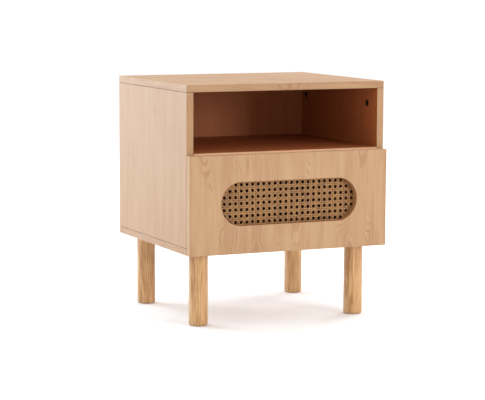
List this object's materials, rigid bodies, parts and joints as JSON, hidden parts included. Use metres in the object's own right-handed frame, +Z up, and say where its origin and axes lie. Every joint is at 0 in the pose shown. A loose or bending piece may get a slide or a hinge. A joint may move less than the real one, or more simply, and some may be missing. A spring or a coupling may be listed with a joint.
{
  "type": "nightstand with drawer and open shelf",
  "caption": "Bedside cabinet with an open shelf space above a sliding drawer, a round-ended cane inset in the drawer front, and round wooden legs.",
  "frame": {"origin": "on the floor, under the middle of the overall footprint", "axes": "+Z up, +Y to the back, so the drawer opens along -Y; +X to the right of a person facing the drawer"},
  "size_m": [0.45, 0.4, 0.5],
  "materials": {
    "laminate_board": "matt melamine with pale oak grain and matching edge band",
    "drawer_board": "matt melamine with pale oak grain",
    "thin_board": "matt printed hardboard",
    "leg_wood": "satin clear lacquer on solid wood",
    "cane": "natural woven rattan cane",
    "dowel_wood": "raw beech",
    "zinc_alloy": "die-cast zinc, dark bronze",
    "zinc_plated_steel": "bright zinc plate",
    "bearing_steel": "polished steel",
    "glide_plastic": "white nylon",
    "clear_plastic": "clear soft plastic"
  },
  "bodies": {
    "cabinet": {"top_panel": "laminate_board", "bottom_panel": "laminate_board", "left_side_panel": "laminate_board", "right_side_panel": "laminate_board", "shelf_panel": "laminate_board", "back_panel": "thin_board", "front_left_leg": "leg_wood", "front_right_leg": "leg_wood", "rear_left_leg": "leg_wood", "rear_right_leg": "leg_wood", "leg_hanger_bolts": "zinc_plated_steel", "leg_threaded_inserts": "zinc_alloy", "leg_glides": "glide_plastic", "panel_cam_locks": "zinc_alloy", "panel_cam_bolts": "zinc_plated_steel", "panel_dowels": "dowel_wood", "left_runner_channel": "zinc_plated_steel", "right_runner_channel": "zinc_plated_steel", "channel_screws": "zinc_plated_steel"},
    "drawer": {"drawer_front": "laminate_board", "cane_panel": "cane", "cane_staples": "zinc_plated_steel", "drawer_bumpers": "clear_plastic", "drawer_left_side": "drawer_board", "drawer_right_side": "drawer_board", "drawer_back": "drawer_board", "drawer_bottom": "thin_board", "drawer_cam_locks": "zinc_alloy", "drawer_cam_bolts": "zinc_plated_steel", "drawer_back_screws": "zinc_plated_steel", "drawer_bottom_screws": "zinc_plated_steel", "left_runner_slide": "zinc_plated_steel", "right_runner_slide": "zinc_plated_steel", "slide_screws": "zinc_plated_steel"},
    "left_cage": {"left_ball_cage": "zinc_plated_steel", "left_bearing_balls": "bearing_steel"},
    "right_cage": {"right_ball_cage": "zinc_plated_steel", "right_bearing_balls": "bearing_steel"}
  },
  "joints": [
    {"name": "drawer_slide", "type": "slide", "parent": "cabinet", "child": "drawer", "axis": [0, -1, 0], "range_m": [0, 0.25]},
    {"name": "left_cage_slide", "type": "slide", "parent": "cabinet", "child": "left_cage", "axis": [0, -1, 0], "range_m": [0, 0.125]},
    {"name": "right_cage_slide", "type": "slide", "parent": "cabinet", "child": "right_cage", "axis": [0, -1, 0], "range_m": [0, 0.125]}
  ],
  "couplings": [
    {"joint": "left_cage_slide", "follows": "drawer_slide", "ratio": 0.5},
    {"joint": "right_cage_slide", "follows": "drawer_slide", "ratio": 0.5}
  ]
}
